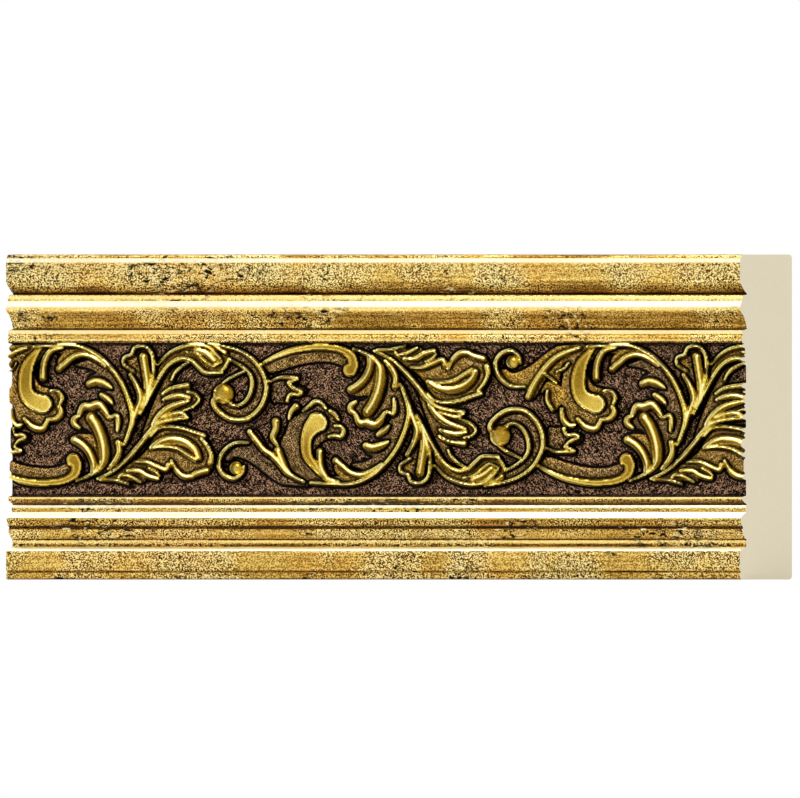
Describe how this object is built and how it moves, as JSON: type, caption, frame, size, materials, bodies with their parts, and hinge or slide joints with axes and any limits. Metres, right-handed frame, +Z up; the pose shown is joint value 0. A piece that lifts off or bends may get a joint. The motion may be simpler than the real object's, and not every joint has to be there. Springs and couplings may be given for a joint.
{
  "type": "decorative wall moulding",
  "caption": "Flat-backed gilt wall moulding with stepped rails and a sunk frieze of acanthus scrolls, cut square at both ends.",
  "frame": {"origin": "middle of the flat back face", "axes": "+X along the length, to the right as seen from the front; +Z up the face; -Y out of the face, +Y out of the back"},
  "size_m": [0.2258, 0.016, 0.1],
  "materials": {
    "gilt_finish": "antique gold leaf look over dense cream polystyrene: burnished gold rails with dark specks and fine cracks, umber toned frieze ground, gold on the carved crests, cream foam bare on the cut ends and the back"
  },
  "bodies": {
    "root": {"moulding": "gilt_finish"}
  },
  "joints": []
}
